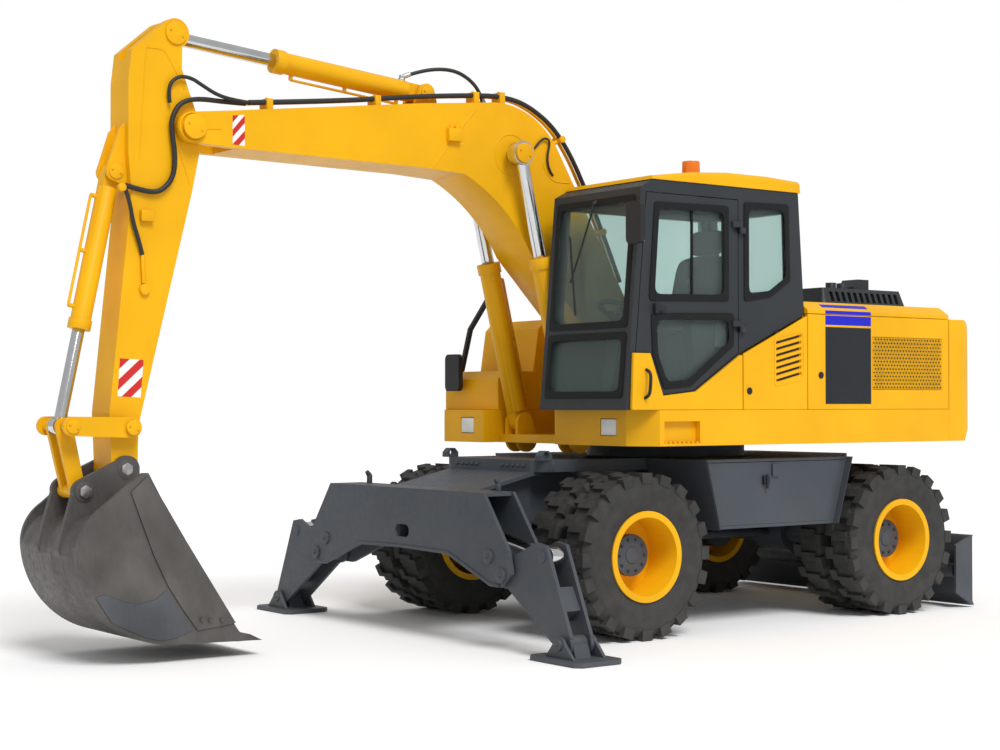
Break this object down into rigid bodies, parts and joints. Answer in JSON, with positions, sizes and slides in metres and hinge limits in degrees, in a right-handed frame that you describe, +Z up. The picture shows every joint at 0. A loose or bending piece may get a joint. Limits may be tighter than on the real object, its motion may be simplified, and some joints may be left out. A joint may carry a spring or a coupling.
{
  "type": "wheeled excavator",
  "caption": "Yellow wheeled excavator with twin tyres, glazed cab, bent boom, stick and bucket, front outriggers with pads and a rear blade.",
  "frame": {"origin": "middle of the whole machine's box, on the ground", "axes": "+X towards the bucket, +Y to the driver's left, +Z up"},
  "size_m": [6.9978, 3.894, 3.9499],
  "materials": {
    "yellow_paint": "satin",
    "slate_paint": "satin",
    "charcoal_paint": "satin",
    "worn_steel": "worn",
    "cast_iron": "rough",
    "rod_chrome": "polished",
    "tyre_rubber": "matte",
    "tinted_glass": "gloss",
    "seat_fabric": "matte",
    "black_plastic": "matte",
    "lamp_plastic": "gloss"
  },
  "bodies": {
    "chassis": {"chassis_frame": "slate_paint", "front_axle": "slate_paint", "rear_axle": "slate_paint", "drive_train": "slate_paint", "side_boxes": "slate_paint", "outrigger_beam": "slate_paint"},
    "upper": {"upper_frame": "yellow_paint", "counterweight": "yellow_paint", "engine_block": "cast_iron", "top_cover": "yellow_paint", "right_boxes": "yellow_paint", "cab_shell": "charcoal_paint", "cab_panel": "yellow_paint", "cab_roof": "yellow_paint", "cab_glass": "tinted_glass", "seat": "seat_fabric", "console": "black_plastic", "mirrors": "black_plastic", "lamps": "lamp_plastic"},
    "cab_door": {"cab_door": "charcoal_paint", "door_glass": "tinted_glass"},
    "front_left_wheel": {"front_left_tyres": "tyre_rubber", "front_left_rims": "yellow_paint"},
    "front_right_wheel": {"front_right_tyres": "tyre_rubber", "front_right_rims": "yellow_paint"},
    "rear_left_wheel": {"rear_left_tyres": "tyre_rubber", "rear_left_rims": "yellow_paint"},
    "rear_right_wheel": {"rear_right_tyres": "tyre_rubber", "rear_right_rims": "yellow_paint"},
    "toolbox_lid": {"toolbox_lid": "slate_paint"},
    "front_left_knuckle": {"front_left_knuckle": "slate_paint"},
    "front_right_knuckle": {"front_right_knuckle": "slate_paint"},
    "tie_rod": {"tie_rod": "slate_paint"},
    "left_outrigger_leg": {"left_outrigger_leg": "slate_paint"},
    "left_outrigger_pad": {"left_outrigger_pad": "slate_paint"},
    "left_outrigger_barrel": {"left_outrigger_barrel": "slate_paint"},
    "left_outrigger_rod": {"left_outrigger_rod": "rod_chrome"},
    "right_outrigger_leg": {"right_outrigger_leg": "slate_paint"},
    "right_outrigger_pad": {"right_outrigger_pad": "slate_paint"},
    "right_outrigger_barrel": {"right_outrigger_barrel": "slate_paint"},
    "right_outrigger_rod": {"right_outrigger_rod": "rod_chrome"},
    "blade": {"blade": "slate_paint"},
    "blade_barrels": {"blade_barrels": "slate_paint"},
    "blade_rods": {"blade_rods": "rod_chrome"},
    "hood": {"hood": "charcoal_paint"},
    "left_rear_door": {"left_rear_door": "yellow_paint"},
    "right_rear_door": {"right_rear_door": "yellow_paint"},
    "left_mid_door": {"left_mid_door": "yellow_paint"},
    "boom": {"boom": "yellow_paint"},
    "boom_barrels": {"boom_barrels": "yellow_paint"},
    "boom_rods": {"boom_rods": "rod_chrome"},
    "stick": {"stick": "yellow_paint"},
    "stick_barrel": {"stick_barrel": "yellow_paint"},
    "stick_rod": {"stick_rod": "rod_chrome"},
    "bucket": {"bucket": "worn_steel"},
    "rocker_links": {"rocker_links": "yellow_paint"},
    "bucket_link": {"bucket_link": "yellow_paint"},
    "bucket_barrel": {"bucket_barrel": "yellow_paint"},
    "bucket_rod": {"bucket_rod": "rod_chrome"}
  },
  "joints": [
    {"name": "swing", "type": "hinge", "parent": "chassis", "child": "upper", "pos_m": [-1.339, 0, 1.27], "axis": [0, 0, 1], "continuous": true},
    {"name": "boom_lift", "type": "hinge", "parent": "upper", "child": "boom", "pos_m": [-0.989, -0.13, 1.85], "axis": [0, -1, 0], "range_deg": [-42, 30]},
    {"name": "boom_barrel_tilt", "type": "hinge", "parent": "upper", "child": "boom_barrels", "pos_m": [-0.289, -0.13, 1.42], "axis": [0, -1, 0], "range_deg": [-39, 28.14]},
    {"name": "boom_rod_slide", "type": "slide", "parent": "boom_barrels", "child": "boom_rods", "axis": [0.2355, 0, 0.9719], "range_m": [-0.58209, 0.41864]},
    {"name": "stick_swing", "type": "hinge", "parent": "boom", "child": "stick", "pos_m": [2.633, -0.13, 3.272], "axis": [0, 1, 0], "range_deg": [-55, 16]},
    {"name": "stick_barrel_tilt", "type": "hinge", "parent": "boom", "child": "stick_barrel", "pos_m": [0.801, -0.13, 3.688], "axis": [0, 1, 0], "range_deg": [-1.74, 3.55]},
    {"name": "stick_rod_slide", "type": "slide", "parent": "stick_barrel", "child": "stick_rod", "axis": [0.9961, 0, 0.0884], "range_m": [-0.5463, 0.16601]},
    {"name": "bucket_curl", "type": "hinge", "parent": "stick", "child": "bucket", "pos_m": [3.055, -0.13, 1.158], "axis": [0, 1, 0], "range_deg": [-70, 95]},
    {"name": "rocker_turn", "type": "hinge", "parent": "stick", "child": "rocker_links", "pos_m": [3.039, -0.13, 1.41], "axis": [0, 1, 0], "range_deg": [-55.36, 74.77]},
    {"name": "link_turn", "type": "hinge", "parent": "rocker_links", "child": "bucket_link", "pos_m": [3.418, -0.13, 1.42], "axis": [0, 1, 0], "range_deg": [-39.3, 29.23]},
    {"name": "bucket_barrel_tilt", "type": "hinge", "parent": "stick", "child": "bucket_barrel", "pos_m": [3.091, -0.13, 2.975], "axis": [0, 1, 0], "range_deg": [-5.22, 6.73]},
    {"name": "bucket_rod_slide", "type": "slide", "parent": "bucket_barrel", "child": "bucket_rod", "axis": [0.2058, 0, -0.9786], "range_m": [-0.30891, 0.41567]},
    {"name": "left_steer", "type": "hinge", "parent": "chassis", "child": "front_left_knuckle", "pos_m": [-0.059, 0.79, 0.55], "axis": [0, 0, 1], "range_deg": [-28, 28]},
    {"name": "right_steer", "type": "hinge", "parent": "chassis", "child": "front_right_knuckle", "pos_m": [-0.059, -0.79, 0.55], "axis": [0, 0, 1], "range_deg": [-29, 29]},
    {"name": "tie_rod_slide", "type": "slide", "parent": "chassis", "child": "tie_rod", "axis": [0, 1, 0], "range_m": [-0.0915, 0.0915]},
    {"name": "front_left_spin", "type": "hinge", "parent": "front_left_knuckle", "child": "front_left_wheel", "pos_m": [-0.059, 0.97, 0.55], "axis": [0, 1, 0], "continuous": true},
    {"name": "front_right_spin", "type": "hinge", "parent": "front_right_knuckle", "child": "front_right_wheel", "pos_m": [-0.059, -0.97, 0.55], "axis": [0, 1, 0], "continuous": true},
    {"name": "rear_left_spin", "type": "hinge", "parent": "chassis", "child": "rear_left_wheel", "pos_m": [-2.549, 0.97, 0.55], "axis": [0, 1, 0], "continuous": true},
    {"name": "rear_right_spin", "type": "hinge", "parent": "chassis", "child": "rear_right_wheel", "pos_m": [-2.549, -0.97, 0.55], "axis": [0, 1, 0], "continuous": true},
    {"name": "left_outrigger", "type": "hinge", "parent": "chassis", "child": "left_outrigger_leg", "pos_m": [0.906, 1.122, 0.48], "axis": [1, 0, 0], "range_deg": [-10, 95]},
    {"name": "left_outrigger_barrel_tilt", "type": "hinge", "parent": "chassis", "child": "left_outrigger_barrel", "pos_m": [0.906, 0.15, 0.84], "axis": [1, 0, 0], "range_deg": [-2.46, 14.87]},
    {"name": "left_outrigger_rod_slide", "type": "slide", "parent": "left_outrigger_barrel", "child": "left_outrigger_rod", "axis": [0, 0.9864, -0.1646], "range_m": [-0.53026, 0.06476]},
    {"name": "left_pad_tilt", "type": "hinge", "parent": "left_outrigger_leg", "child": "left_outrigger_pad", "pos_m": [0.906, 1.697, 0.11], "axis": [1, 0, 0], "range_deg": [-15, 15]},
    {"name": "right_outrigger", "type": "hinge", "parent": "chassis", "child": "right_outrigger_leg", "pos_m": [0.906, -1.122, 0.48], "axis": [-1, 0, 0], "range_deg": [-10, 95]},
    {"name": "right_outrigger_barrel_tilt", "type": "hinge", "parent": "chassis", "child": "right_outrigger_barrel", "pos_m": [0.906, -0.15, 0.84], "axis": [-1, 0, 0], "range_deg": [-2.46, 14.87]},
    {"name": "right_outrigger_rod_slide", "type": "slide", "parent": "right_outrigger_barrel", "child": "right_outrigger_rod", "axis": [0, -0.9864, -0.1646], "range_m": [-0.53026, 0.06476]},
    {"name": "right_pad_tilt", "type": "hinge", "parent": "right_outrigger_leg", "child": "right_outrigger_pad", "pos_m": [0.906, -1.697, 0.11], "axis": [-1, 0, 0], "range_deg": [-15, 15]},
    {"name": "blade_lift", "type": "hinge", "parent": "chassis", "child": "blade", "pos_m": [-2.829, 0, 0.52], "axis": [0, 1, 0], "range_deg": [-8, 26]},
    {"name": "blade_barrel_tilt", "type": "hinge", "parent": "chassis", "child": "blade_barrels", "pos_m": [-3.059, 0, 0.96], "axis": [0, 1, 0], "range_deg": [-3.7, 9.77]},
    {"name": "blade_rod_slide", "type": "slide", "parent": "blade_barrels", "child": "blade_rods", "axis": [-0.2587, 0, -0.9659], "range_m": [-0.17184, 0.0598]},
    {"name": "cab_door_hinge", "type": "hinge", "parent": "upper", "child": "cab_door", "pos_m": [-0.929, 1.24, 2.245], "axis": [0, 0, 1], "range_deg": [0, 85]},
    {"name": "left_mid_door_hinge", "type": "hinge", "parent": "upper", "child": "left_mid_door", "pos_m": [-1.573, 1.248, 1.8], "axis": [0, 0, 1], "range_deg": [0, 100]},
    {"name": "left_rear_door_hinge", "type": "hinge", "parent": "upper", "child": "left_rear_door", "pos_m": [-3.098, 1.248, 1.85], "axis": [0, 0, 1], "range_deg": [0, 100]},
    {"name": "right_rear_door_hinge", "type": "hinge", "parent": "upper", "child": "right_rear_door", "pos_m": [-3.098, -1.248, 1.85], "axis": [0, 0, -1], "range_deg": [0, 100]},
    {"name": "hood_hinge", "type": "hinge", "parent": "upper", "child": "hood", "pos_m": [-2.949, 0.07, 2.281], "axis": [0, -1, 0], "range_deg": [0, 55]},
    {"name": "toolbox_lid_hinge", "type": "hinge", "parent": "chassis", "child": "toolbox_lid", "pos_m": [-1.339, 1.15, 0.7153], "axis": [-1, 0, 0], "range_deg": [0, 95]}
  ],
  "couplings": [
    {"joint": "boom_barrel_tilt", "follows": "boom_lift", "ratio": 0.90471},
    {"joint": "boom_rod_slide", "follows": "boom_lift", "m_per_rad": 0.78044},
    {"joint": "stick_barrel_tilt", "follows": "stick_swing", "ratio": -0.046418},
    {"joint": "stick_rod_slide", "follows": "stick_swing", "m_per_rad": 0.55868},
    {"joint": "rocker_turn", "follows": "bucket_curl", "ratio": 0.77655},
    {"joint": "link_turn", "follows": "bucket_curl", "ratio": -0.40321},
    {"joint": "bucket_barrel_tilt", "follows": "bucket_curl", "ratio": 0.060293},
    {"joint": "bucket_rod_slide", "follows": "bucket_curl", "m_per_rad": 0.24466},
    {"joint": "right_steer", "follows": "left_steer", "ratio": 1},
    {"joint": "tie_rod_slide", "follows": "left_steer", "m_per_rad": -0.177},
    {"joint": "left_outrigger_barrel_tilt", "follows": "left_outrigger", "ratio": 0.14597},
    {"joint": "left_outrigger_rod_slide", "follows": "left_outrigger", "m_per_rad": -0.31378},
    {"joint": "right_outrigger_barrel_tilt", "follows": "right_outrigger", "ratio": 0.14597},
    {"joint": "right_outrigger_rod_slide", "follows": "right_outrigger", "m_per_rad": -0.31378},
    {"joint": "blade_barrel_tilt", "follows": "blade_lift", "ratio": 0.33736},
    {"joint": "blade_rod_slide", "follows": "blade_lift", "m_per_rad": -0.35665}
  ]
}
